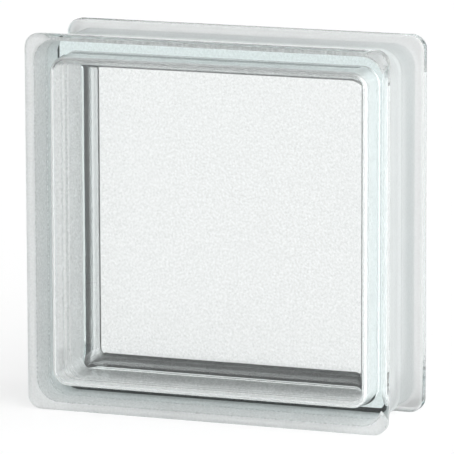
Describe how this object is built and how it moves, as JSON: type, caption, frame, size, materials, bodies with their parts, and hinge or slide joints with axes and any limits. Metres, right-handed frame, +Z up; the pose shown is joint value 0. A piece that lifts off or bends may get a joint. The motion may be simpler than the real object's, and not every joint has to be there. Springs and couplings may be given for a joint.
{
  "type": "glass block",
  "caption": "Square hollow glass building block with clear plain faces, a mortar groove between the lips round its edge and a sealed air cavity, laid in walls that let daylight through.",
  "frame": {"origin": "middle of the underside, on the surface the block stands on", "axes": "+X along the width, +Y from the front face to the back face, +Z up the height"},
  "size_m": [0.24, 0.08, 0.24],
  "materials": {
    "clear_glass": "clear pressed glass, fire-polished, with a faint grey-green tint in its thickness"
  },
  "bodies": {
    "root": {"glass_block": "clear_glass"}
  },
  "joints": []
}
